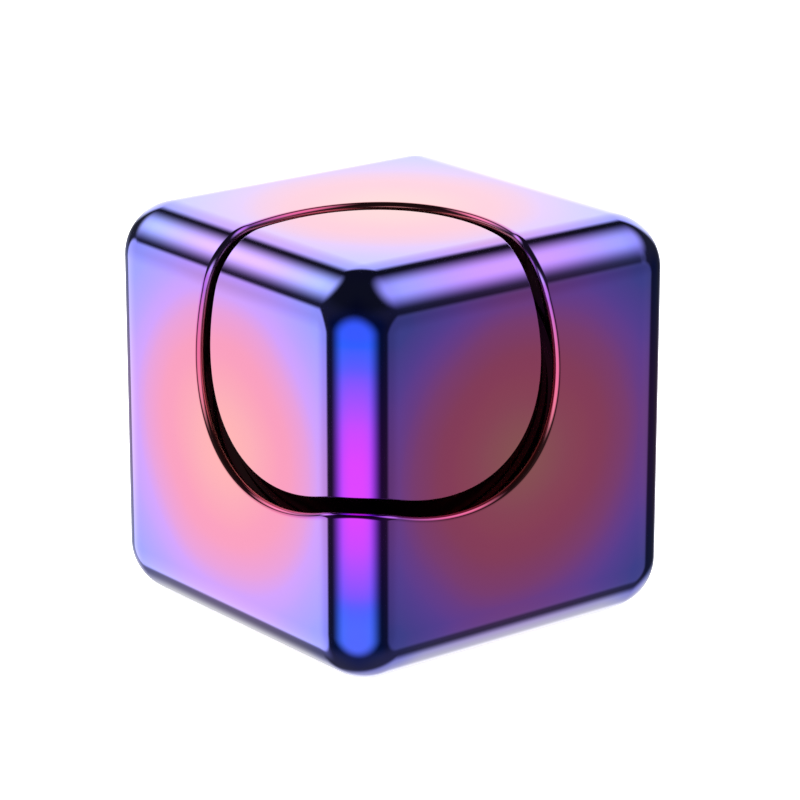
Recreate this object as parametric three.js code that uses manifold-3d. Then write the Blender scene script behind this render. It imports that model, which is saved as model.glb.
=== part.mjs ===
// Spinning desk cube, 30 mm on a side. The cube is split along its corner-to-corner diagonal: a
// middle body turns on a small ball bearing, and the two opposite corner caps, joined by a stud
// through that bearing, are pinched between finger and thumb while the body spins.
// Millimetres, +Z up, origin at the centre of the flat bottom face.

import * as THREE from 'three';
import { RoundedBoxGeometry } from 'three/addons/geometries/RoundedBoxGeometry.js';
import { mergeVertices } from 'three/addons/utils/BufferGeometryUtils.js';
import Module from 'manifold-3d';

const wasm = await Module();
wasm.setup();

// ---- driving dimensions ----

const CUBE = 30;                // side of the cube
const EDGE_ROUND = 4;           // rounding on every edge and corner
const EDGE_STEPS = 3;           // flats that make half of one rounded edge
const TURN_STEPS = 36;          // flats round every turned piece
const RING_STEPS = 16;          // half the flats round an open spring ring
const EAR_STEPS = 6;            // half the flats round the small ears of the circlip

const CAP_R = 11.75;            // corner caps, round about the diagonal
const POCKET_R = 12.45;         // pockets in the body that the caps sit in
const POCKET_FLOOR = 4.5;       // from the cube's centre along the diagonal
const CAP_FLOOR = 5;            // underside of each cap, along the diagonal
const CAP_CHAMFER = 0.5;        // round the hidden rim under each cap
const BOSS_R = 4.6;             // raised boss under each cap
const BOSS_END = 3.12;          // where the boss meets the spacer washer
const TAP_R = 2.02;             // tapped blind hole in each cap
const TAP_END = 12;             // bottom of that hole, along the diagonal

const BEARING_R = 6.35;         // R188 size ball bearing: 12.7 outside, 6.35 bore, 4.762 wide
const BEARING_BORE_R = 3.175;
const BEARING_HALF = 2.381;
const BALLS = 10;
const BALL_R = 0.794;
const PITCH_R = 4.7625;         // circle through the ball centres
const RACEWAY_R = 0.86;         // section radius of both raceways
const RACEWAY_STEPS = 4;        // flats across a raceway
const INNER_LAND_R = 4.25;      // shoulders beside the inner raceway
const OUTER_LAND_R = 5.3;       // shoulders beside the outer raceway
const SHIELD_SEAT = 1.78;       // where the recess for each shield starts
const SHIELD_SEAT_R = 5.76;
const CLIP_GROOVE = [2.08, 2.3];
const CLIP_GROOVE_R = 5.93;
const SHIELD_R = [4.37, 5.7];
const SHIELD_SPAN = [1.86, 2.04];
const SHIELD_CLIP_R = [5.5, 5.86];
const SHIELD_CLIP_SPAN = [2.12, 2.26];
const CAGE_R = [4.42, 5.1];
const CAGE_SPAN = [-1.2, 0.6];  // solid rail behind the balls, prongs in front
const CAGE_POCKET_R = 0.9;

const HOUSING_R = 6.41;         // bore in the body that holds the bearing
const SHOULDER_R = 5.6;         // step behind the bearing
const SHOULDER = -2.44;
const CIRCLIP_GROOVE = [2.44, 3.26];
const CIRCLIP_GROOVE_R = 6.8;
const CIRCLIP_R = [5.85, 6.72];
const CIRCLIP_SPAN = [2.46, 3.16];
const CIRCLIP_GAP = 0.22;       // half the angle left open, in radians
const EAR_AT = 5.75;            // ears on the circlip's ends, out from the diagonal
const EAR_R = 0.55;
const EAR_HOLE_R = 0.26;

const SLEEVE_R = 3.12;          // shaft that carries the bearing
const SLEEVE_HALF = 3.04;
const SLEEVE_BORE_R = 2.12;
const WASHER_R = [3.19, 4.1];
const WASHER_SPAN = [2.42, 3.02];
const STUD_R = 1.95;
const STUD_HALF = 11.4;
const STUD_CHAMFER = 0.4;

// ---- the diagonal that everything turns about ----

const CENTRE = new THREE.Vector3(0, 0, CUBE / 2);
const DIAGONAL = new THREE.Vector3(1, -1, 1).normalize();   // towards the front corner cap
const ACROSS = new THREE.Vector3(0, 0, 1).projectOnPlane(DIAGONAL).normalize();
const ALONG_DIAGONAL = new THREE.Matrix4()
  .makeBasis(new THREE.Vector3().crossVectors(DIAGONAL, ACROSS), DIAGONAL, ACROSS)
  .setPosition(CENTRE);

// ---- closed solids from three.js geometry ----

function signedVolume(points, corners) {
  const [a, b, c] = [new THREE.Vector3(), new THREE.Vector3(), new THREE.Vector3()];
  let six = 0;
  for (let i = 0; i < corners.length; i += 3) {
    a.fromArray(points, corners[i] * 3);
    b.fromArray(points, corners[i + 1] * 3);
    c.fromArray(points, corners[i + 2] * 3);
    six += a.dot(b.cross(c));
  }
  return six / 6;
}

function solid(geometry) {
  const bare = geometry.clone();
  bare.deleteAttribute('normal');
  bare.deleteAttribute('uv');
  const welded = mergeVertices(bare, 1e-5);
  const points = new Float32Array(welded.attributes.position.array);
  const corners = new Uint32Array(welded.index.array);
  if (signedVolume(points, corners) < 0) {
    for (let i = 0; i < corners.length; i += 3) {
      [corners[i], corners[i + 1]] = [corners[i + 1], corners[i]];
    }
  }
  return new wasm.Manifold(new wasm.Mesh({
    numProp: 3, vertProperties: points, triVerts: corners,
  }));
}

function mesh(name, shape, finish) {
  const { vertProperties, triVerts } = shape.getMesh();
  const geometry = new THREE.BufferGeometry();
  geometry.setAttribute('position', new THREE.BufferAttribute(vertProperties, 3));
  geometry.setIndex(new THREE.BufferAttribute(triVerts, 1));
  geometry.computeVertexNormals();
  const piece = new THREE.Mesh(geometry, finish);
  piece.name = name;
  return piece;
}

// A solid turned about the diagonal, from [radius, distance along it] pairs. A profile that
// leaves the axis out is a ring, and is closed back to its first pair.
function turned(profile) {
  const points = profile.map(([r, s]) => new THREE.Vector2(r, s));
  if (profile.every(([r]) => r > 0)) points.push(points[0].clone());
  return solid(new THREE.LatheGeometry(points, TURN_STEPS).applyMatrix4(ALONG_DIAGONAL));
}

const disc = (r, from, to) => turned([[0, from], [r, from], [r, to], [0, to]]);
const ring = ([inner, outer], [from, to]) =>
  turned([[inner, from], [outer, from], [outer, to], [inner, to]]);

// side is 1 towards the front corner cap and -1 towards the rear one
const mirrored = (profile, side) => profile.map(([r, s]) => [r, s * side]);
const sideRing = (radii, [from, to], side) => ring(radii, [from * side, to * side]);

// A flat outline cut to a thickness across the diagonal, its x towards the cube's top face
function plate(outline, [from, to], curveSegments) {
  const geometry = new THREE.ExtrudeGeometry(outline, {
    depth: to - from, bevelEnabled: false, curveSegments,
  });
  geometry.rotateX(-Math.PI / 2).rotateY(-Math.PI / 2).translate(0, from, 0);
  return solid(geometry.applyMatrix4(ALONG_DIAGONAL));
}

// ---- finishes ----

const metal = (color, roughness) =>
  new THREE.MeshStandardMaterial({ color, roughness, metalness: 1, flatShading: true });

const BODY_PLATING = metal(0xa884e8, 0.12);
const CAP_PLATING = metal(0xe79ac8, 0.12);
const BEARING_STEEL = metal(0xc9ccd2, 0.2);
const CAGE_BRASS = metal(0xc9a355, 0.35);
const SPRING_STEEL = metal(0x3c3e44, 0.45);
const SHIELD_STEEL = metal(0xb4b8be, 0.35);
const SHAFT_STEEL = metal(0xa8acb2, 0.3);

// ---- body and corner caps ----

function wholeCube() {
  const block = new RoundedBoxGeometry(CUBE, CUBE, CUBE, EDGE_STEPS, EDGE_ROUND);
  return solid(block.translate(CENTRE.x, CENTRE.y, CENTRE.z));
}

function cubeBody() {
  const past = CUBE;            // clears the corners of the cube
  const housing = turned([
    [0, SHOULDER], [HOUSING_R, SHOULDER],
    [HOUSING_R, CIRCLIP_GROOVE[0]], [CIRCLIP_GROOVE_R, CIRCLIP_GROOVE[0]],
    [CIRCLIP_GROOVE_R, CIRCLIP_GROOVE[1]], [HOUSING_R, CIRCLIP_GROOVE[1]],
    [HOUSING_R, POCKET_FLOOR - 0.4], [HOUSING_R + 0.9, POCKET_FLOOR + 0.5],
    [0, POCKET_FLOOR + 0.5],
  ]);
  return wholeCube()
    .subtract(disc(POCKET_R, POCKET_FLOOR, past))
    .subtract(disc(POCKET_R, -past, -POCKET_FLOOR))
    .subtract(housing)
    .subtract(disc(SHOULDER_R, -POCKET_FLOOR - 1, SHOULDER + 1));
}

function cornerCap(side) {
  const drum = turned(mirrored([
    [0, BOSS_END], [BOSS_R, BOSS_END], [BOSS_R, CAP_FLOOR],
    [CAP_R - CAP_CHAMFER, CAP_FLOOR], [CAP_R, CAP_FLOOR + CAP_CHAMFER],
    [CAP_R, CUBE], [0, CUBE],
  ], side));
  const tapped = turned(mirrored([
    [0, BOSS_END - 1], [TAP_R, BOSS_END - 1], [TAP_R, TAP_END], [0, TAP_END + 1.1],
  ], side));
  return wholeCube().intersect(drum).subtract(tapped);
}

// ---- bearing ----

// Points along a raceway from one shoulder to the other. hollow is -1 on the inner race,
// whose raceway dips towards the diagonal, and 1 on the outer race.
function raceway(landR, hollow) {
  const reach = Math.acos(Math.abs(landR - PITCH_R) / RACEWAY_R);
  return Array.from({ length: RACEWAY_STEPS + 1 }, (_, i) => {
    const angle = reach * (1 - 2 * i / RACEWAY_STEPS);
    return [PITCH_R + hollow * RACEWAY_R * Math.cos(angle), RACEWAY_R * Math.sin(angle)];
  });
}

function innerRace() {
  return turned([
    [BEARING_BORE_R, BEARING_HALF], [INNER_LAND_R, BEARING_HALF],
    ...raceway(INNER_LAND_R, -1),
    [INNER_LAND_R, -BEARING_HALF], [BEARING_BORE_R, -BEARING_HALF],
  ]);
}

// Recess for a shield and the groove for its clip, from the mouth of the outer race inwards
const shieldRecess = [
  [SHIELD_SEAT_R, BEARING_HALF], [SHIELD_SEAT_R, CLIP_GROOVE[1]],
  [CLIP_GROOVE_R, CLIP_GROOVE[1]], [CLIP_GROOVE_R, CLIP_GROOVE[0]],
  [SHIELD_SEAT_R, CLIP_GROOVE[0]], [SHIELD_SEAT_R, SHIELD_SEAT],
  [OUTER_LAND_R, SHIELD_SEAT],
];

function outerRace() {
  return turned([
    [BEARING_R, BEARING_HALF], ...shieldRecess,
    ...raceway(OUTER_LAND_R, 1),
    ...mirrored(shieldRecess, -1).reverse(), [BEARING_R, -BEARING_HALF],
  ]);
}

// Where ball number i sits, and a coarse round ball of a given size there
function ballAt(i, radius) {
  const turn = 2 * Math.PI * i / BALLS;
  const ball = new THREE.IcosahedronGeometry(radius, 1);
  ball.translate(PITCH_R, 0, 0).rotateY(turn);
  return solid(ball.applyMatrix4(ALONG_DIAGONAL));
}

function cage() {
  let crown = ring(CAGE_R, CAGE_SPAN);
  for (let i = 0; i < BALLS; i += 1) crown = crown.subtract(ballAt(i, CAGE_POCKET_R));
  return crown;
}

const shield = (side) => sideRing(SHIELD_R, SHIELD_SPAN, side);

// Outline of an open spring ring, with its gap on the side of the cube's top face
function openRing(innerR, outerR, gapHalfAngle) {
  const outline = new THREE.Shape();
  outline.absarc(0, 0, outerR, gapHalfAngle, 2 * Math.PI - gapHalfAngle, false);
  outline.absarc(0, 0, innerR, 2 * Math.PI - gapHalfAngle, gapHalfAngle, true);
  return outline;
}

function shieldClip(side) {
  const outline = openRing(SHIELD_CLIP_R[0], SHIELD_CLIP_R[1], 0.1);
  const [from, to] = SHIELD_CLIP_SPAN;
  return plate(outline, side > 0 ? [from, to] : [-to, -from], RING_STEPS);
}

// The ring that holds the bearing in the body. Each end has an ear with a hole for circlip pliers.
function circlip() {
  const outline = openRing(CIRCLIP_R[0], CIRCLIP_R[1], CIRCLIP_GAP);
  let clip = plate(outline, CIRCLIP_SPAN, RING_STEPS);
  for (const side of [1, -1]) {
    const turn = side * (CIRCLIP_GAP + 0.09);
    const round = (radius) => new THREE.Shape().absarc(
      EAR_AT * Math.cos(turn), EAR_AT * Math.sin(turn), radius, 0, 2 * Math.PI, false);
    clip = clip.add(plate(round(EAR_R), CIRCLIP_SPAN, EAR_STEPS))
      .subtract(plate(round(EAR_HOLE_R), [CIRCLIP_SPAN[0] - 1, CIRCLIP_SPAN[1] + 1], EAR_STEPS));
  }
  return clip;
}

// ---- shaft that joins the two caps ----

const sleeve = () => ring([SLEEVE_BORE_R, SLEEVE_R], [-SLEEVE_HALF, SLEEVE_HALF]);

const washer = (side) => sideRing(WASHER_R, WASHER_SPAN, side);

function stud() {
  return turned([
    [0, -STUD_HALF], [STUD_R - STUD_CHAMFER, -STUD_HALF], [STUD_R, -STUD_HALF + STUD_CHAMFER],
    [STUD_R, STUD_HALF - STUD_CHAMFER], [STUD_R - STUD_CHAMFER, STUD_HALF], [0, STUD_HALF],
  ]);
}

// ---- assembly ----

const group = new THREE.Group();

const housed = new THREE.Group();
housed.add(
  mesh('cube_body', cubeBody(), BODY_PLATING),
  mesh('bearing_outer_race', outerRace(), BEARING_STEEL),
  mesh('front_bearing_shield', shield(1), SHIELD_STEEL),
  mesh('rear_bearing_shield', shield(-1), SHIELD_STEEL),
  mesh('front_shield_clip', shieldClip(1), SPRING_STEEL),
  mesh('rear_shield_clip', shieldClip(-1), SPRING_STEEL),
  mesh('bearing_circlip', circlip(), SPRING_STEEL),
);

const rolling = new THREE.Group();
rolling.add(mesh('bearing_cage', cage(), CAGE_BRASS));
for (let i = 0; i < BALLS; i += 1) {
  const number = String(i + 1).padStart(2, '0');
  rolling.add(mesh(`bearing_ball_${number}`, ballAt(i, BALL_R), BEARING_STEEL));
}

const spindle = new THREE.Group();
spindle.add(
  mesh('front_corner_cap', cornerCap(1), CAP_PLATING),
  mesh('rear_corner_cap', cornerCap(-1), CAP_PLATING),
  mesh('bearing_inner_race', innerRace(), BEARING_STEEL),
  mesh('axle_sleeve', sleeve(), SHAFT_STEEL),
  mesh('axle_stud', stud(), SHAFT_STEEL),
  mesh('front_spacer_washer', washer(1), SHAFT_STEEL),
  mesh('rear_spacer_washer', washer(-1), SHAFT_STEEL),
);

group.add(housed, rolling, spindle);

export default group;
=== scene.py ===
"""A 30 mm spinning metal cube with rainbow plating, on a white light table.

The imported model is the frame. The plated body and its two corner caps are rebuilt here as fine
meshes on the same axes, and so are the parts of the bearing and shaft hidden between them.
"""

import math

import bmesh
import bpy
import numpy as np
from mathutils import Matrix, Vector


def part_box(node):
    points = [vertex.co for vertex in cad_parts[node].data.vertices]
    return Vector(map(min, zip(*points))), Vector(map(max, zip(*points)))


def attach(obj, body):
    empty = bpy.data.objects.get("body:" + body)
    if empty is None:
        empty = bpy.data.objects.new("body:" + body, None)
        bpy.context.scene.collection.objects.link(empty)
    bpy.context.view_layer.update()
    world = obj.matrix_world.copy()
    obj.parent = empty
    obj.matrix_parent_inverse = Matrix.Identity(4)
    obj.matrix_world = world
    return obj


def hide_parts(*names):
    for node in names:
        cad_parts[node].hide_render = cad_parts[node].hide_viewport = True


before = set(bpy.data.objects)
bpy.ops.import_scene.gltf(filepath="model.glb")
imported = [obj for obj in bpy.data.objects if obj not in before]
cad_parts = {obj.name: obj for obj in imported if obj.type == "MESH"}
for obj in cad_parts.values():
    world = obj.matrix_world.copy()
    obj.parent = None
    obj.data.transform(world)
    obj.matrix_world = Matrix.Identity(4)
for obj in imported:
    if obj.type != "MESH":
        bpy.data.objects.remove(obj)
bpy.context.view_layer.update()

MM = 0.001  # metres in a millimetre
CENTRE = np.array([0.0, 0.0, 15.0])  # of the cube, in millimetres

# ---- the cube and the diagonal it spins about, in millimetres ----

HALF = 15.0
EDGE_ROUND = 4.0
FLAT = HALF - EDGE_ROUND  # where the flat of a face ends
AXIS = np.array([1.0, -1.0, 1.0]) / math.sqrt(3)
ACROSS = np.array([-1.0, 1.0, 2.0]) / math.sqrt(6)  # square to the axis, towards the top face
SIDE = np.cross(AXIS, ACROSS)

CAP_R = 11.75
CAP_LIP = 0.09  # rounding of the cap's cut edge
CAP_FLOOR = 5.0  # underside of a cap, from the cube's centre along the axis
BOSS_R = 4.6  # raised boss under a cap
BOSS_END = 3.12
TAP_R = 2.02  # blind hole in a cap for the stud
TAP_END = 12.0
TAP_TIP = 13.1
POCKET_R = 12.45
BODY_LIP = 0.38  # rounding of the body's cut edge
POCKET_FLOOR = 4.5
HOUSING_R = 6.41  # bore that holds the bearing
SHOULDER_R = 5.6  # step behind the bearing
HOUSING_HALF = 2.44
CIRCLIP_GROOVE_R = 6.8
CIRCLIP_GROOVE_END = 3.26

# ---- the bearing and shaft, in millimetres ----

BEARING_R = 6.35
BEARING_BORE_R = 3.175
BEARING_HALF = 2.381
BALLS = 10
BALL_R = 0.794
PITCH_R = 4.7625  # circle through the ball centres
RACEWAY_R = 0.86
INNER_LAND_R = 4.25  # shoulders beside the inner raceway
OUTER_LAND_R = 5.3  # and beside the outer one
SHIELD_SEAT_R = 5.76
SHIELD_SEAT = 1.78
SNAP_GROOVE_R = 5.93
SNAP_GROOVE = (2.08, 2.3)
SHIELD_R = (4.37, 5.7)
SHIELD_SPAN = (1.86, 2.04)
SNAP_RING_R = (5.5, 5.86)
SNAP_RING_SPAN = (2.12, 2.26)
CAGE_R = (4.42, 5.1)
CAGE_SPAN = (-1.2, 0.6)  # solid rail behind the balls, prongs in front
CAGE_POCKET_R = 0.9
CIRCLIP_R = (5.85, 6.72)
CIRCLIP_SPAN = (2.46, 3.16)
SLEEVE_R = (2.12, 3.12)
SLEEVE_HALF = 3.04
SPACER_R = (3.19, 4.1)
SPACER_SPAN = (2.42, 3.02)
STUD_R = 1.95
STUD_HALF = 11.4

FINE = 480  # columns round the visible pieces
PLAIN = 120  # columns round the hidden ones
THREADED = 96  # columns round the stud
SHARP = 0.6  # an edge that bends more than this, in radians, gets a small bevel
BEYOND = 26.0  # further from the cube's centre than any corner


def out_from_axis(columns):
    """Unit vectors square to the axis, one for each column round it."""
    turn = np.arange(columns) * 2 * math.pi / columns
    return np.outer(np.cos(turn), ACROSS) + np.outer(np.sin(turn), SIDE)


def unit(v):
    return v / np.linalg.norm(v, axis=-1, keepdims=True)


def skin_distance(p, inset=0.0):
    """How far p is outside the rounded cube, or outside the same cube shrunk by inset."""
    q = np.abs(p) - FLAT
    outside = np.linalg.norm(np.maximum(q, 0), axis=-1)
    inside = np.minimum(q.max(axis=-1), 0)
    return outside + inside - EDGE_ROUND + inset


def skin_normal(p):
    return unit(np.maximum(np.abs(p) - FLAT, 0) * np.sign(p))


def walk_to_skin(start, direction, inset=0.0):
    """From points outside the cube, inwards against direction, to the skin."""
    p = start.copy()
    for _ in range(30):
        gap = skin_distance(p, inset)
        slope = np.maximum((skin_normal(p) * direction).sum(-1), 0.05)
        p = p - direction * (gap / slope)[..., None]
    return p


def on_skin(directions):
    """Where rays from the cube's centre meet its skin."""
    d = unit(directions)
    return walk_to_skin(d * (HALF / np.abs(d).max(-1, keepdims=True)), d)


def swing(a, b, t):
    """Unit vectors a share t of the way from a to b, along the arc between them."""
    angle = np.arccos(np.clip((a * b).sum(-1, keepdims=True), -1, 1))
    return (np.sin((1 - t) * angle) * a + np.sin(t * angle) * b) / np.sin(angle)


# ---- rings of points stacked into closed meshes ----


class Rings:
    """Rings of points round the axis, each with its normals, from which a closed mesh is made."""

    def __init__(self, columns):
        self.columns = columns
        self.out = out_from_axis(columns)
        self.points, self.normals = [], []

    def add(self, points, normals):
        self.points.append(points)
        self.normals.append(normals)

    def turned(self, profile):
        """Adds one ring for each (radius, distance along the axis, and the normal's two parts)."""
        for r, s, nr, ns in profile:
            self.add(r * self.out + s * AXIS, nr * self.out + ns * AXIS)

    def pole(self, s, facing):
        self.add((s * AXIS)[None], (facing * AXIS)[None])

    def build(self, name, closed=False):
        counts = [len(p) for p in self.points]
        starts = np.concatenate([[0], np.cumsum(counts)])
        points = np.concatenate(self.points)
        normals = np.concatenate(self.normals)
        quads, fans = [], []
        here = np.arange(self.columns)
        there = (here + 1) % self.columns
        last = len(counts) if closed else len(counts) - 1
        for i in range(last):
            j = (i + 1) % len(counts)
            a, b = starts[i], starts[j]
            if counts[i] == 1:
                fans.append(np.stack([a + 0 * here, b + there, b + here], 1))
            elif counts[j] == 1:
                fans.append(np.stack([a + here, a + there, b + 0 * here], 1))
            else:
                quads.append(np.stack([a + here, a + there, b + there, b + here], 1))
        return closed_mesh(name, points, normals, quads, fans)


def in_scene(name, data):
    """A new object that holds the data, linked to the scene."""
    made = bpy.data.objects.new(name, data)
    bpy.context.scene.collection.objects.link(made)
    return made


def closed_mesh(name, points, normals, quads, fans):
    """A mesh object from millimetre points about the cube's centre, its faces turned outwards."""
    shapes = [np.concatenate(group) for group in (quads, fans) if group]
    probe = points[shapes[0]]
    facing = np.cross(probe[:, 2] - probe[:, 0], probe[:, -1] - probe[:, 1])
    if shapes[0].shape[1] == 3:
        facing = np.cross(probe[:, 1] - probe[:, 0], probe[:, 2] - probe[:, 0])
    if (facing * normals[shapes[0]].mean(1)).sum() < 0:
        shapes = [s[:, ::-1] for s in shapes]
    mesh = bpy.data.meshes.new(name)
    mesh.vertices.add(len(points))
    mesh.vertices.foreach_set("co", ((points + CENTRE) * MM).astype(np.float32).ravel())
    corners = np.concatenate([s.ravel() for s in shapes]).astype(np.int32)
    sizes = np.concatenate([np.full(len(s), s.shape[1]) for s in shapes]).astype(np.int32)
    mesh.loops.add(len(corners))
    mesh.loops.foreach_set("vertex_index", corners)
    mesh.polygons.add(len(sizes))
    mesh.polygons.foreach_set("loop_start", np.concatenate([[0], np.cumsum(sizes)[:-1]]))
    mesh.update(calc_edges=True)
    mesh.shade_smooth()
    mesh.normals_split_custom_set_from_vertices(unit(normals).tolist())
    return in_scene(name, mesh)


def rounded(corners, radius, closed=False):
    """Turned profile through the corners, (radius, distance) pairs, each corner rounded off.

    Normals point to the right of the way along the profile. A slight bend is part of a curve, and
    its rounding takes all the room there is.
    """
    at = [np.array(c, float) for c in corners]
    count = len(at)
    profile = []
    for i, corner in enumerate(at):
        if not closed and i in (0, count - 1):
            other = at[1] if i == 0 else at[-2]
            way = unit(other - corner) if i == 0 else unit(corner - other)
            profile.append((corner[0], corner[1], way[1], -way[0]))
            continue
        back, on = at[i - 1] - corner, at[(i + 1) % count] - corner
        way_in, way_out = -unit(back), unit(on)
        bend = math.acos(max(-1.0, min(1.0, float(way_in @ way_out))))
        room = 0.45 * min(float(np.linalg.norm(back)), float(np.linalg.norm(on)))
        reach = room if bend < 0.3 else min(radius * math.tan(bend / 2), room)
        steps = math.ceil(bend / 0.35)
        r = reach / math.tan(bend / 2)
        left = 1.0 if way_in[0] * way_out[1] - way_in[1] * way_out[0] > 0 else -1.0
        start = corner - way_in * reach
        pivot = start + left * r * np.array([-way_in[1], way_in[0]])
        for k in range(steps + 1):
            turn = left * bend * k / steps
            c, s = math.cos(turn), math.sin(turn)
            way = np.array([c * way_in[0] - s * way_in[1], s * way_in[0] + c * way_in[1]])
            p = pivot - left * r * np.array([-way[1], way[0]])
            profile.append((p[0], p[1], way[1], -way[0]))
    return profile


def lip(rings, side, wall_r, radius, outwards):
    """Rings that round the cut edge between the cube's skin and a round wall about the axis.

    outwards is 1 where the wall faces away from the axis, as on a cap, and -1 in a pocket. A ball
    of the lip's radius is rolled round inside the metal, touching both. The rings run from the
    skin to the wall.
    """
    steps = 9
    along = side * AXIS
    centre = walk_to_skin(
        (wall_r - outwards * radius) * rings.out + BEYOND * along, along + 0 * rings.out, radius
    )
    skin, wall = skin_normal(centre), outwards * rings.out
    out = []
    for k in range(steps + 1):
        normal = swing(skin, wall, k / steps)
        out.append((centre + radius * normal, normal))
    return out


# ---- the plated body and corner caps ----


def plated_cap(name, side):
    rings = Rings(FINE)
    edge = lip(rings, side, CAP_R, CAP_LIP, 1)
    tip = side * AXIS + 0 * rings.out
    rings.pole(side * (math.sqrt(3) * FLAT + EDGE_ROUND), side)
    bands = 88
    for k in range(1, bands):
        p = on_skin(swing(tip, unit(edge[0][0]), k / bands))
        rings.add(p, skin_normal(p))
    for points, normals in edge:
        rings.add(points, normals)
    chamfer = 0.5
    under = rounded([
        (CAP_R, 8.0), (CAP_R, CAP_FLOOR + chamfer), (CAP_R - chamfer, CAP_FLOOR),
        (BOSS_R, CAP_FLOOR), (BOSS_R, BOSS_END), (TAP_R, BOSS_END), (TAP_R, TAP_END),
        (0.4, TAP_TIP - 0.2),
    ], 0.15)
    rings.turned([(r, side * s, -nr, -side * ns) for r, s, nr, ns in under])
    rings.pole(side * TAP_TIP, -side)
    return rings.build(name)


def plated_body(name):
    rings = Rings(FINE)
    front = lip(rings, 1, POCKET_R, BODY_LIP, -1)
    rear = lip(rings, -1, POCKET_R, BODY_LIP, -1)
    bands = 110
    for points, normals in reversed(front):
        rings.add(points, normals)
    start, end = unit(front[0][0]), unit(rear[0][0])
    for k in range(1, bands):
        p = on_skin(swing(start, end, k / bands))
        rings.add(p, skin_normal(p))
    for points, normals in rear:
        rings.add(points, normals)
    inside = [
        (POCKET_R, -6.0), (POCKET_R, -POCKET_FLOOR), (SHOULDER_R, -POCKET_FLOOR),
        (SHOULDER_R, -HOUSING_HALF), (HOUSING_R, -HOUSING_HALF), (HOUSING_R, HOUSING_HALF),
        (CIRCLIP_GROOVE_R, HOUSING_HALF), (CIRCLIP_GROOVE_R, CIRCLIP_GROOVE_END),
        (HOUSING_R, CIRCLIP_GROOVE_END), (HOUSING_R, POCKET_FLOOR - 0.4),
        (HOUSING_R + 0.4, POCKET_FLOOR), (POCKET_R, POCKET_FLOOR), (POCKET_R, 6.0),
    ]
    rings.turned([(r, s, -nr, -ns) for r, s, nr, ns in rounded(inside, 0.15)])
    return rings.build(name, closed=True)


# ---- bearing, shaft and the rings that hold them ----


def turned_ring(name, corners, radius, side=1):
    """A ring turned from the closed profile through the corners, (radius, distance) pairs.

    Its corners are rounded to the radius, and a side of -1 mirrors it to the rear.
    """
    loop = np.array([(r, side * s) for r, s in corners])
    on = np.roll(loop, -1, axis=0)
    out = np.sign((loop[:, 0] * on[:, 1] - on[:, 0] * loop[:, 1]).sum())
    rings = Rings(PLAIN)
    rings.turned([(r, s, out * nr, out * ns) for r, s, nr, ns in rounded(loop, radius, True)])
    return rings.build(name, closed=True)


def box_section(radii, span):
    """Corners of a plain ring's section."""
    return [(radii[0], span[0]), (radii[1], span[0]), (radii[1], span[1]), (radii[0], span[1])]


def raceway(land_r, hollow):
    """Points across a raceway from the front shoulder to the rear one.

    hollow is -1 on the inner race, whose raceway dips towards the axis, and 1 on the outer race.
    """
    reach = math.acos(abs(land_r - PITCH_R) / RACEWAY_R)
    return [(PITCH_R + hollow * RACEWAY_R * math.cos(t), RACEWAY_R * math.sin(t))
            for t in np.linspace(reach, -reach, 15)]


def outer_race(name):
    inner, outer = SNAP_GROOVE
    front = [
        (SHIELD_SEAT_R, BEARING_HALF), (SHIELD_SEAT_R, outer), (SNAP_GROOVE_R, outer),
        (SNAP_GROOVE_R, inner), (SHIELD_SEAT_R, inner), (SHIELD_SEAT_R, SHIELD_SEAT),
        (OUTER_LAND_R, SHIELD_SEAT),
    ]
    rear = [(r, -s) for r, s in reversed(front)]
    return turned_ring(name, [
        (BEARING_R, BEARING_HALF), *front, *raceway(OUTER_LAND_R, 1), *rear,
        (BEARING_R, -BEARING_HALF),
    ], 0.06)


def inner_race(name):
    return turned_ring(name, [
        (BEARING_BORE_R, BEARING_HALF), (INNER_LAND_R, BEARING_HALF), *raceway(INNER_LAND_R, -1),
        (INNER_LAND_R, -BEARING_HALF), (BEARING_BORE_R, -BEARING_HALF),
    ], 0.1)


def pressed_shield(name, side):
    """A thin plate with a raised rim and a lip at its bore."""
    bore, rim = SHIELD_R
    back, front = SHIELD_SPAN
    return turned_ring(name, [
        (bore, back), (rim, back), (rim, front), (rim - 0.2, front), (rim - 0.3, front - 0.08),
        (bore + 0.15, front - 0.08), (bore + 0.09, front - 0.11), (bore, front - 0.11),
    ], 0.03, side)


def ball(name, node):
    """A bearing ball: a cube cut into squares, and every square pushed out to the sphere."""
    low, high = (np.array(corner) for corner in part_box(node))
    middle = (low + high) / 2 / MM - CENTRE
    bm = bmesh.new()
    bmesh.ops.create_cube(bm, size=2.0)
    bmesh.ops.subdivide_edges(bm, edges=bm.edges[:], cuts=15, use_grid_fill=True)
    bm.verts.index_update()
    way = unit(np.tan(np.array([v.co[:] for v in bm.verts]) * math.pi / 4))
    quads = np.array([[v.index for v in face.verts] for face in bm.faces])
    bm.free()
    return closed_mesh(name, middle + BALL_R * way, way, [quads], [])


def bevelled(name, bm, soften):
    """A mesh object from a closed bmesh in millimetres, its sharp edges softened."""
    bmesh.ops.remove_doubles(bm, verts=bm.verts[:], dist=1e-3)
    bmesh.ops.recalc_face_normals(bm, faces=bm.faces[:])
    for v in bm.verts:
        v.co = (v.co + Vector(CENTRE)) * MM
    mesh = bpy.data.meshes.new(name)
    bm.to_mesh(mesh)
    bm.free()
    mesh.shade_smooth()
    mesh.set_sharp_from_angle(angle=SHARP)
    piece = in_scene(name, mesh)
    bevel = piece.modifiers.new("soften", "BEVEL")
    bevel.width, bevel.segments = soften * MM, 2
    bevel.limit_method, bevel.angle_limit = "ANGLE", SHARP
    return piece


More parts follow.
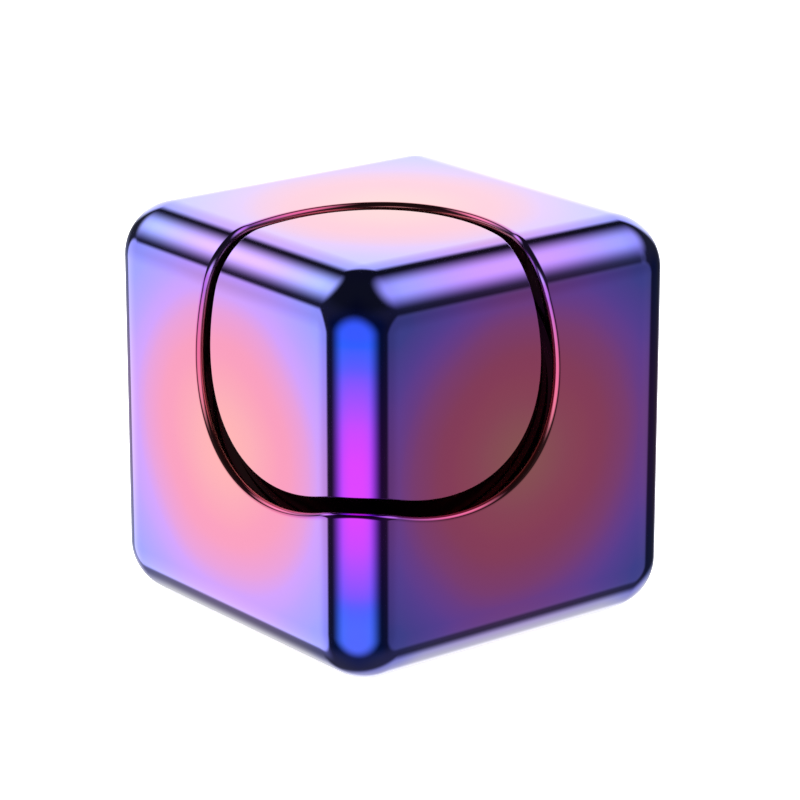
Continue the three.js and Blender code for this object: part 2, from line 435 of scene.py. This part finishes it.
def crown_cage(name):
    """The cage: a rail behind the balls, with prongs that curl round each of them."""
    flats, curve = 4, 17  # steps across half a prong, and points round a pocket
    rail, tip = CAGE_SPAN
    radii = np.linspace(*CAGE_R, 5)
    half = math.pi / BALLS
    bm = bmesh.new()

    def at(turn, r, s):
        return r * (math.cos(turn) * ACROSS + math.sin(turn) * SIDE) + s * AXIS

    def sheet(rows):
        grid = [[bm.verts.new(p) for p in row] for row in rows]
        for a, b in zip(grid, grid[1:]):
            for i in range(len(a) - 1):
                bm.faces.new((a[i], a[i + 1], b[i + 1], b[i]))

    def edge(r, s):
        """Angle from the middle of a ball to the edge of its pocket."""
        cosine = (r * r + PITCH_R ** 2 - CAGE_POCKET_R ** 2 + s * s) / (2 * r * PITCH_R)
        return math.acos(min(cosine, 1.0))

    def top(r):
        """(angle, distance) along the pocket and half a prong on each side of it."""
        wide, deep = edge(r, 0), math.sqrt(CAGE_POCKET_R ** 2 - (r - PITCH_R) ** 2)
        shares = [j / flats for j in range(flats + 1)]
        before = [(-half + (half - wide) * t, 0.0) for t in shares[:-1]]
        after = [(wide + (half - wide) * t, 0.0) for t in shares[1:]]
        under = []
        for t in np.linspace(0, math.pi, curve):
            s = -deep * math.sin(t)
            under.append((-math.copysign(edge(r, s), math.cos(t)), s))
        return before + under + after

    def prong(r, s):
        """Angles across the prong between one ball and the next."""
        wide = edge(r, s)
        return [wide + 2 * (half - wide) * j / (2 * flats) for j in range(2 * flats + 1)]

    heights = np.linspace(0, tip, 4)
    for i in range(BALLS):
        turn = half * (2 * i + 1)
        for r in (radii[0], radii[-1]):
            sheet([[at(turn + a, r, s + (rail - s) * t) for a, s in top(r)]
                   for t in np.linspace(0, 1, 4)])
            sheet([[at(turn + a, r, s) for a in prong(r, s)] for s in heights])
        sheet([[at(turn + a, r, s) for a, s in top(r)[flats:flats + curve]] for r in radii])
        sheet([[at(turn + a, r, rail) for a, _ in top(r)] for r in radii])
        sheet([[at(turn + a, r, tip) for a in prong(r, tip)] for r in radii])
        for end in (0, -1):
            sheet([[at(turn + prong(r, s)[end], r, s) for s in heights] for r in radii])
    return bevelled(name, bm, 0.03)


def arc(radius, start, end, steps, middle=(0.0, 0.0)):
    """Points from one angle to another, both in radians."""
    return [(middle[0] + radius * math.cos(t), middle[1] + radius * math.sin(t))
            for t in np.linspace(start, end, steps + 1)]


def cut_ring(name, loops, low, high, soften):
    """Sheet cut to an outline, the first loop, with the others as holes, across the axis.

    Loops are millimetres towards the top face and towards SIDE.
    """
    bm = bmesh.new()
    edges = []
    for loop in loops:
        verts = [bm.verts.new(x * ACROSS + y * SIDE + low * AXIS) for x, y in loop]
        edges += [bm.edges.new((verts[i - 1], verts[i])) for i in range(len(verts))]
    filled = bmesh.ops.triangle_fill(bm, use_beauty=True, edges=edges)["geom"]
    faces = [g for g in filled if isinstance(g, bmesh.types.BMFace)]
    grown = bmesh.ops.extrude_face_region(bm, geom=faces)["geom"]
    moved = [g for g in grown if isinstance(g, bmesh.types.BMVert)]
    bmesh.ops.translate(bm, verts=moved, vec=Vector(AXIS * (high - low)))
    return bevelled(name, bm, soften)


def snap_ring(name, low, high):
    """The open ring that holds a shield in the outer race."""
    gap = 0.1
    inner, outer = SNAP_RING_R
    outline = arc(outer, gap, 2 * math.pi - gap, 96) + arc(inner, 2 * math.pi - gap, gap, 96)
    return cut_ring(name, [outline], low, high, 0.04)


def eared_circlip(name):
    """An open spring ring whose two ends have ears with holes for circlip pliers.

    One ear's outline runs from where it leaves the ring's inner edge to the cut end of the ring.
    """
    inner, outer = CIRCLIP_R
    gap = 0.22  # half the angle between the two ends
    ear_at, ear_turn, ear_r, hole_r = 5.75, 0.31, 0.55, 0.26
    ear = (ear_at * math.cos(ear_turn), ear_at * math.sin(ear_turn))
    leave = math.acos((inner ** 2 + ear_at ** 2 - ear_r ** 2) / (2 * inner * ear_at))
    aside = ear_at * math.sin(ear_turn - gap)
    joins = math.atan2(inner * math.sin(leave), inner * math.cos(leave) - ear_at)
    cut = math.sqrt(ear_r ** 2 - aside ** 2) + ear_at * math.cos(ear_turn - gap)
    ends = 2 * math.pi - math.atan2(
        cut * math.sin(ear_turn - gap), cut * math.cos(ear_turn - gap) - ear_at)
    tab = arc(ear_r, ear_turn + joins, ear_turn + ends, 24, ear)
    other_tab = [(x, -y) for x, y in reversed(tab)]
    turn = ear_turn + leave
    outline = (arc(outer, gap, 2 * math.pi - gap, 120) + other_tab
               + arc(inner, 2 * math.pi - turn, turn, 110)[1:-1] + tab)
    hole = arc(hole_r, 0, 2 * math.pi, 24, ear)[:-1]
    other_hole = [(x, -y) for x, y in hole]
    return cut_ring(name, [outline, hole, other_hole], *CIRCLIP_SPAN, 0.05)


def threaded_stud(name):
    """A stud with a rolled thread at each end and a plain waist inside the sleeve."""
    depth, pitch, chamfer = 0.34, 0.7, 0.4
    waist = 3.3  # half the plain length
    end_r = STUD_R - chamfer - 0.05
    rows, nudge = 457, 0.01
    rings = Rings(THREADED)
    turn = np.arange(THREADED) * 2 * math.pi / THREADED
    tangent = np.cross(AXIS, rings.out)

    def radius(s):
        saw = np.abs(((s / pitch - turn / (2 * math.pi)) % 1) * 2 - 1)
        crest = np.clip(saw * 1.4 - 0.2, 0, 1)
        share = min(1.0, max(0.0, (abs(s) - waist) / pitch), (STUD_HALF - abs(s)) / 0.3)
        cut_back = max(0, abs(s) - (STUD_HALF - chamfer))
        return np.minimum(STUD_R - depth * share * (1 - crest), STUD_R - cut_back)

    rings.pole(-STUD_HALF, -1)
    rings.add(end_r * rings.out - STUD_HALF * AXIS, -AXIS + 0 * rings.out)
    for s in np.linspace(-STUD_HALF, STUD_HALF, rows):
        r = radius(s)
        along = (radius(s + nudge) - radius(s - nudge)) / (2 * nudge)
        around = (np.roll(r, -1) - np.roll(r, 1)) / (2 * turn[1] * r)
        rings.add(r[:, None] * rings.out + s * AXIS,
                  rings.out - along[:, None] * AXIS - around[:, None] * tangent)
    rings.add(end_r * rings.out + STUD_HALF * AXIS, AXIS + 0 * rings.out)
    rings.pole(STUD_HALF, 1)
    return rings.build(name)


# ---- camera ----


def heading(azimuth, elevation):
    """Unit vector, azimuth measured from the front face's side (-y) towards +x, in degrees."""
    a, e = math.radians(azimuth), math.radians(elevation)
    return Vector((math.sin(a) * math.cos(e), -math.cos(a) * math.cos(e), math.sin(e)))


def right_and_up(ahead):
    right = ahead.cross(Vector((0, 0, 1))).normalized()
    return right, right.cross(ahead)


def add_camera():
    """A long lens from the front corner's side, a little above the cube."""
    distance = 0.26776  # from the cube's centre, in metres
    back = heading(51.95, 17.54)
    right, up = right_and_up(-back)
    aside, above = math.radians(0.1408), math.radians(0.0758)  # it looks just past the centre
    ahead = (-back * math.cos(aside) * math.cos(above) + right * math.sin(aside)
             * math.cos(above) + up * math.sin(above)).normalized()
    right, up = right_and_up(ahead)
    data = bpy.data.cameras.new("camera")
    data.sensor_width = 36.0
    data.lens = 163.9
    data.clip_start, data.clip_end = 0.01, 20
    camera = in_scene("camera", data)
    turn = Matrix((right, up, -ahead)).transposed().to_4x4()
    camera.matrix_world = Matrix.Translation(Vector(CENTRE * MM) + back * distance) @ turn
    bpy.context.scene.camera = camera


# ---- node helpers ----


class Nodes:
    """Short calls that add nodes to a tree and join them up."""

    def __init__(self, tree):
        self.tree = tree
        tree.nodes.clear()

    def put(self, kind, inputs=(), **settings):
        node = self.tree.nodes.new(kind)
        for key, value in settings.items():
            setattr(node, key, value)
        for key, value in dict(inputs).items():
            self.feed(node.inputs[key], value)
        return node

    def feed(self, socket, value):
        if isinstance(value, bpy.types.NodeSocket):
            self.tree.links.new(value, socket)
        else:
            socket.default_value = value

    def math(self, operation, a, b=None, c=None):
        inputs = {i: v for i, v in enumerate((a, b, c)) if v is not None}
        return self.put("ShaderNodeMath", inputs, operation=operation).outputs[0]

    def vector(self, operation, a, b=None, out=0):
        inputs = {i: v for i, v in enumerate((a, b)) if v is not None}
        return self.put("ShaderNodeVectorMath", inputs, operation=operation).outputs[out]

    def step(self, value, low, high):
        """0 below low, 1 above high, smooth between."""
        return self.put("ShaderNodeMapRange", {
            "Value": value, "From Min": low, "From Max": high,
        }, interpolation_type="SMOOTHSTEP").outputs[0]

    def ramp(self, value, low, high, stops, curve):
        """Colours at values from low to high, joined by the named kind of curve."""
        scaled = self.put("ShaderNodeMapRange", {
            "Value": value, "From Min": low, "From Max": high,
        }).outputs[0]
        node = self.put("ShaderNodeValToRGB", {"Fac": scaled})
        node.color_ramp.interpolation = curve
        elements = node.color_ramp.elements
        while len(elements) < len(stops):
            elements.new(0.5)
        for element, (at, colour) in zip(elements, stops):
            element.position = (at - low) / (high - low)
            element.color = (*colour, 1)
        return node.outputs[0]

    def mix(self, share, a, b):
        node = self.put("ShaderNodeMix", data_type="RGBA")
        for socket, value in zip((node.inputs[0], node.inputs[6], node.inputs[7]), (share, a, b)):
            self.feed(socket, value)
        return node.outputs[2]


def new_material(name):
    """A material, its nodes, and the place of a point in millimetres from the cube's centre."""
    material = bpy.data.materials.new(name)
    material.use_nodes = True
    n = Nodes(material.node_tree)
    place = n.put("ShaderNodeTexCoord").outputs["Object"]
    p = n.vector("SCALE", n.vector("SUBTRACT", place, tuple(CENTRE * MM)))
    p.node.inputs["Scale"].default_value = 1 / MM
    return material, n, p


# ---- rainbow plating ----


def plating(name):
    """Thin-film plating on polished metal.

    Its colour depends on how far a point is from the middle of its face, and on the rounded
    edges on how far it is along the edge. Part of it is painted light: the y and z faces and the
    top edges are painted paler, as if washed out by the light that falls on them most. All
    distances in it are millimetres.
    """
    material, n, p = new_material(name)
    size = n.vector("ABSOLUTE", p)
    flat = n.vector("MINIMUM", size, (FLAT,) * 3)  # held inside the flats of the faces
    x, y, z = n.put("ShaderNodeSeparateXYZ", {0: flat}).outputs
    longest = n.math("MAXIMUM", x, n.math("MAXIMUM", y, z))
    shortest = n.math("MINIMUM", x, n.math("MINIMUM", y, z))
    square = n.math("SUBTRACT", n.vector("DOT_PRODUCT", flat, flat, out=1),
                    n.math("MULTIPLY", longest, longest))
    wander = n.put("ShaderNodeTexNoise", {"Vector": p, "Scale": 0.12, "Detail": 1.0}).outputs[0]
    from_middle = n.math("ADD", n.math("SQRT", n.math("MAXIMUM", square, 0.0)),
                         n.math("MULTIPLY", n.math("SUBTRACT", wander, 0.5), 1.2))

    # gold in the middle of each face, then rose, violet and blue; the deep colours on the x faces
    # and the groove's lip, and a copy painted paler on the y and z faces, as if washed out by
    # light
    deep = n.ramp(from_middle, 0, 16, [
        (0.0, (0.75, 0.265, 0.25)), (3.5, (0.75, 0.18, 0.275)), (6.0, (0.74, 0.13, 0.285)),
        (8.0, (0.68, 0.12, 0.34)), (10.0, (0.565, 0.12, 0.52)), (11.0, (0.45, 0.12, 0.69)),
        (12.6, (0.295, 0.125, 0.845)), (14.8, (0.155, 0.13, 0.79)), (16.0, (0.12, 0.13, 0.77)),
    ], "CARDINAL")
    pale = n.ramp(from_middle, 0, 16, [
        (0.0, (0.715, 0.30, 0.295)), (3.5, (0.69, 0.265, 0.31)), (6.0, (0.68, 0.215, 0.33)),
        (8.0, (0.65, 0.205, 0.375)), (10.0, (0.55, 0.21, 0.52)), (11.0, (0.455, 0.215, 0.67)),
        (12.6, (0.355, 0.22, 0.82)), (14.8, (0.245, 0.225, 0.86)), (16.0, (0.22, 0.225, 0.86)),
    ], "CARDINAL")
    ax, ay, az = n.put("ShaderNodeSeparateXYZ", {0: size}).outputs
    on_x = n.step(n.math("SUBTRACT", ax, n.math("MAXIMUM", ay, az)), -0.4, 0.4)
    from_axis = n.vector("LENGTH", n.vector("CROSS_PRODUCT", p, tuple(AXIS)), out=1)
    by_groove = n.math("MULTIPLY", n.step(from_axis, 12.1, 12.3), n.step(from_axis, 13.2, 12.9))
    # painted light: the y and z faces, which the light falls on most, get the paler copy
    face = n.mix(n.math("MAXIMUM", on_x, by_groove), pale, deep)

    # tilt goes from 0 where a rounded edge leaves its face to 2.8 along the middle of the edge
    over = n.vector("MAXIMUM", n.vector("SUBTRACT", size, (FLAT,) * 3), (0.0,) * 3)
    ox, oy, oz = n.put("ShaderNodeSeparateXYZ", {0: over}).outputs
    most = n.math("MAXIMUM", ox, n.math("MAXIMUM", oy, oz))
    reach = n.vector("DOT_PRODUCT", over, over, out=1)
    rest = n.math("SUBTRACT", reach, n.math("MULTIPLY", most, most))
    tilt = n.math("SQRT", n.math("MAXIMUM", n.math("DIVIDE", rest, n.math("MAXIMUM", reach, 0.01)),
                                 0.0))
    tilt = n.math("MULTIPLY", tilt, EDGE_ROUND)
    upright = n.ramp(shortest, 0, 11, [
        (0.0, (0.62, 0.03, 0.86)), (2.5, (0.59, 0.03, 0.86)), (5.0, (0.42, 0.042, 0.86)),
        (8.0, (0.145, 0.06, 0.86)), (10.0, (0.022, 0.075, 0.86)), (11.0, (0.012, 0.065, 0.86)),
    ], "CARDINAL")
    height = n.put("ShaderNodeSeparateXYZ", {0: p}).outputs[2]
    upright = n.mix(n.step(height, -7.5, -10.5), upright, (0.05, 0.10, 0.86, 1))
    flank = n.vector("MULTIPLY", upright, (0.55, 1.2, 1.08))
    upright = n.mix(n.step(tilt, 2.6, 1.5), upright, flank)
    # painted light: the top edges are painted paler and whiter than the upright ones, as if lit
    # from above; the bottom edges get the greyer ramp under
    level = n.ramp(shortest, 0, 11, [
        (0.0, (0.52, 0.32, 0.95)), (3.5, (0.50, 0.315, 0.95)), (6.0, (0.42, 0.32, 0.95)),
        (8.0, (0.35, 0.335, 0.95)), (10.0, (0.285, 0.335, 0.95)), (11.0, (0.25, 0.29, 0.92)),
    ], "CARDINAL")
    under = n.ramp(shortest, 0, 11, [(0.0, (0.39, 0.35, 0.60)), (8.0, (0.36, 0.34, 0.60)),
                                     (11.0, (0.14, 0.14, 0.62))], "EASE")
    level = n.mix(n.step(height, -11.3, -14.0), level, under)
    level = n.mix(n.step(tilt, 2.6, 1.5), level, n.vector("MULTIPLY", level, (0.88, 0.8, 1.05)))

    # lying is 0 on the upright edges and 1 on the level ones
    meeting = n.math("ADD", n.math("MINIMUM", ox, oy), 0.001)
    lying = n.math("DIVIDE", oz, n.math("ADD", oz, meeting))
    # the level edges take the copy painted paler, the upright ones the saturated colours
    edge = n.mix(n.step(lying, 0.3, 0.62), upright, level)
    colour = n.mix(n.step(tilt, 0.75, 1.65), face, edge)

    # the wall of the groove is duller and browner
    wall = n.math("MULTIPLY", n.step(from_axis, 12.3, 12.4), n.step(from_axis, 12.75, 12.48))
    colour = n.mix(wall, colour, (0.42, 0.26, 0.22, 1))
    haze = n.put("ShaderNodeTexNoise", {"Vector": p, "Scale": 0.22, "Detail": 3.0}).outputs[0]
    roughness = n.put("ShaderNodeMapRange", {
        "Value": haze, "From Min": 0.35, "From Max": 0.65, "To Min": 0.055, "To Max": 0.085,
    }).outputs[0]
    roughness = n.math("MULTIPLY_ADD", wall, 0.25, roughness)
    shader = n.put("ShaderNodeBsdfPrincipled", {
        "Base Color": colour, "Metallic": 1.0, "Roughness": roughness, "Coat Weight": 1.0,
        "Coat Roughness": 0.05, "Coat IOR": 1.35,
    }).outputs[0]
    n.put("ShaderNodeOutputMaterial", {"Surface": shader})
    return material


# ---- bare metals of the bearing and shaft ----


def bare_metal(name, dark, light, roughness, grooves):
    """Turned or ground metal, with fine tool marks round the axis."""
    material, n, p = new_material(name)
    along = n.vector("DOT_PRODUCT", p, tuple(AXIS), out=1)
    out = n.vector("LENGTH", n.vector("CROSS_PRODUCT", p, tuple(AXIS)), out=1)
    ringed = n.put("ShaderNodeCombineXYZ", {
        0: n.math("MULTIPLY", along, grooves), 1: n.math("MULTIPLY", out, grooves),
    }).outputs[0]
    marks = n.put("ShaderNodeTexNoise", {"Vector": ringed, "Scale": 1.0, "Detail": 4.0}).outputs[0]
    patches = n.put("ShaderNodeTexNoise", {"Vector": p, "Scale": 0.8, "Detail": 2.0}).outputs[0]
    colour = n.mix(patches, (*dark, 1), (*light, 1))
    rough = n.put("ShaderNodeMapRange", {
        "Value": marks, "From Min": 0.3, "From Max": 0.7,
        "To Min": roughness * 0.75, "To Max": roughness * 1.25,
    }).outputs[0]
    bump = n.put("ShaderNodeBump", {"Height": marks, "Strength": 0.12, "Distance": 0.00002})
    shader = n.put("ShaderNodeBsdfPrincipled", {
        "Base Color": colour, "Metallic": 1.0, "Roughness": rough, "Normal": bump.outputs[0],
    }).outputs[0]
    n.put("ShaderNodeOutputMaterial", {"Surface": shader})
    return material


# ---- studio ----

# Round soft boxes: brightness, azimuth and elevation of the middle, half the width and height to
# where it has faded to half, all in degrees, how soft the edge is, and tint.
SOFT_BOXES = [
    (1.04, -56, -16, 28.3, 27, 0.10, (1, 1, 1)),  # seen in the left face
    (0.32, -62, -27, 20, 20, 0.50, (1, 1, 1)),  # brighter low in it
    (0.215, 131, -17, 28, 27, 0.14, (1, 1, 1)),  # in the right face
    (0.068, 137, -27, 20, 20, 0.50, (1, 1, 1)),  # brighter low in it
    (1.22, -131, 17, 28, 27, 0.20, (1, 1, 1)),  # in the top face
    (1.15, 36, -19, 35.5, 34, 0.40, (1, 1, 1)),  # in the upright front edge
    (1.58, -70, 34, 12.7, 12.7, 0.95, (1, 1, 1)),  # in the top edge on the left
    (1.22, 151, 47, 20, 19, 0.80, (1, 0.84, 1)),  # in the top edge on the right
    (0.77, -150, -50, 27, 24, 0.35, (1, 1, 1)),  # low behind, in the bottom edge on the right
    (0.50, -118, -33, 26, 15.5, 0.55, (1, 1, 1)),  # and in the bottom edge on the left
    (0.19, -104, -20, 24, 16, 0.45, (1, 1, 1)),  # beside the left face's box
    (0.32, -142, -14, 12, 11, 0.45, (1, 1, 1)),  # for the two faces at the back
    (0.12, 142, 16, 9, 9, 0.5, (1, 1, 1)),  # for the top seen from the left
]


def studio():
    """White to the camera and to the floor, and to the shiny cube a ring of round soft boxes."""
    world = bpy.data.worlds.new("studio")
    bpy.context.scene.world = world
    world.use_nodes = True
    n = Nodes(world.node_tree)
    way = n.put("ShaderNodeTexCoord").outputs["Generated"]
    total = None
    for level, azimuth, elevation, across, up, softness, tint in SOFT_BOXES:
        middle = heading(azimuth, elevation)
        side = heading(azimuth + 90, 0)
        over = side.cross(middle) * -1
        ahead = n.vector("DOT_PRODUCT", way, middle, out=1)
        aside = n.math("ARCTAN2", n.vector("DOT_PRODUCT", way, side, out=1), ahead)
        above = n.math("ARCSINE", n.vector("DOT_PRODUCT", way, over, out=1))
        place = n.put("ShaderNodeCombineXYZ", {
            0: n.math("DIVIDE", aside, math.radians(across)),
            1: n.math("DIVIDE", above, math.radians(up)),
        }).outputs[0]
        glow = n.step(n.vector("LENGTH", place, out=1), 1 + softness, 1 - softness)
        light = n.put("ShaderNodeCombineXYZ", {
            i: n.math("MULTIPLY", glow, level * t) for i, t in enumerate(tint)}).outputs[0]
        total = light if total is None else n.vector("ADD", total, light)

    # what the cube mirrors between the boxes: nearly black, and a little lighter low down
    height = n.put("ShaderNodeSeparateXYZ", {0: way}).outputs[2]
    below = n.math("MULTIPLY", n.step(height, -0.55, -0.9), 0.05)
    level = n.math("MULTIPLY", n.step(height, 0.7, 0.3), 0.018)
    grey = n.math("ADD", n.math("ADD", below, level), 0.014)
    total = n.vector("ADD", total, n.put("ShaderNodeCombineXYZ", {
        0: grey, 1: grey, 2: grey}).outputs[0])
    path = n.put("ShaderNodeLightPath")
    shiny = n.put("ShaderNodeBackground", {"Color": total, "Strength": 1.0}).outputs[0]
    plain = n.put("ShaderNodeBackground", {"Color": (1, 1, 1, 1), "Strength": 1.9}).outputs[0]
    both = n.put("ShaderNodeMixShader", {
        0: path.outputs["Is Glossy Ray"], 1: plain, 2: shiny}).outputs[0]
    n.put("ShaderNodeOutputWorld", {"Surface": both})
    world.cycles.sampling_method = "NONE"


def floor():
    """A pale light table, wide enough to fill every view, so that shadows on it stay faint.

    It is clear from below, which leaves the underside of the cube to be seen.
    """
    size, low = 3.0, -0.00005  # half its width, and just under the cube, in metres
    mesh = bpy.data.meshes.new("floor")
    corners = [(-size, -size, low), (size, -size, low), (size, size, low), (-size, size, low)]
    mesh.from_pydata(corners, [], [(0, 1, 2, 3)])
    plane = in_scene("floor", mesh)
    material = bpy.data.materials.new("floor_white")
    material.use_nodes = True
    n = Nodes(material.node_tree)
    table = n.put("ShaderNodeBsdfPrincipled", {
        "Base Color": (0.93, 0.93, 0.935, 1), "Roughness": 0.9, "Specular IOR Level": 0.0,
        "Emission Color": (1, 1, 1, 1), "Emission Strength": 0.8,
    }).outputs[0]
    clear = n.put("ShaderNodeBsdfTransparent").outputs[0]
    from_below = n.put("ShaderNodeNewGeometry").outputs["Backfacing"]
    shown = n.put("ShaderNodeMixShader", {0: from_below, 1: table, 2: clear}).outputs[0]
    n.put("ShaderNodeOutputMaterial", {"Surface": shown})
    mesh.materials.append(material)
    plane.visible_glossy = False


# ---- assembly ----

add_camera()
studio()
floor()

PLATING = plating("rainbow_plating")


def finish_piece(piece, material, body, slot, *nodes):
    """Gives a piece its material, and puts it in place of its CAD nodes on their body. Its slot
    is not used.
    """
    piece.data.materials.append(material)
    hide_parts(*nodes)
    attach(piece, body)


finish_piece(plated_body("plated_body"), PLATING, "body", "body_plating", "cube_body")
finish_piece(plated_cap("plated_front_cap", 1), PLATING, "spindle", "cap_plating",
             "front_corner_cap")
finish_piece(plated_cap("plated_rear_cap", -1), PLATING, "spindle", "cap_plating",
             "rear_corner_cap")

BEARING_STEEL = bare_metal("bearing_steel", (0.56, 0.57, 0.59), (0.68, 0.69, 0.71), 0.12, 14)
CAGE_BRASS = bare_metal("cage_brass", (0.55, 0.37, 0.12), (0.72, 0.51, 0.20), 0.32, 8)
SHIELD_STEEL = bare_metal("shield_steel", (0.46, 0.47, 0.49), (0.58, 0.59, 0.61), 0.30, 20)
SPRING_STEEL = bare_metal("spring_steel", (0.035, 0.036, 0.042), (0.075, 0.075, 0.08), 0.38, 6)
SHAFT_STEEL = bare_metal("shaft_steel", (0.42, 0.43, 0.45), (0.54, 0.55, 0.57), 0.22, 16)

finish_piece(outer_race("outer_race"), BEARING_STEEL, "body", "bearing_steel",
             "bearing_outer_race")
finish_piece(inner_race("inner_race"), BEARING_STEEL, "spindle", "bearing_steel",
             "bearing_inner_race")
finish_piece(crown_cage("crown_cage"), CAGE_BRASS, "cage", "cage_brass", "bearing_cage")
for number in range(1, BALLS + 1):
    node = f"bearing_ball_{number:02d}"
    finish_piece(ball(f"steel_ball_{number:02d}", node), BEARING_STEEL, "cage", "bearing_steel",
                 node)
finish_piece(eared_circlip("eared_circlip"), SPRING_STEEL, "body", "spring_steel",
             "bearing_circlip")
sleeve = turned_ring("shaft_sleeve", box_section(SLEEVE_R, (-SLEEVE_HALF, SLEEVE_HALF)), 0.14)
finish_piece(sleeve, SHAFT_STEEL, "spindle", "shaft_steel", "axle_sleeve")
finish_piece(threaded_stud("threaded_stud"), SHAFT_STEEL, "spindle", "shaft_steel", "axle_stud")
for place, side in (("front", 1), ("rear", -1)):
    finish_piece(pressed_shield(f"{place}_pressed_shield", side), SHIELD_STEEL, "body",
                 "shield_steel", f"{place}_bearing_shield")
    span = sorted(side * s for s in SNAP_RING_SPAN)
    finish_piece(snap_ring(f"{place}_snap_ring", *span), SPRING_STEEL, "body", "spring_steel",
                 f"{place}_shield_clip")
    spacer = turned_ring(f"{place}_spacer", box_section(SPACER_R, SPACER_SPAN), 0.1, side)
    finish_piece(spacer, SHAFT_STEEL, "spindle", "shaft_steel", f"{place}_spacer_washer")

scene = bpy.context.scene
scene.view_settings.view_transform = "Standard"
scene.cycles.max_bounces = 12
scene.cycles.glossy_bounces = 5
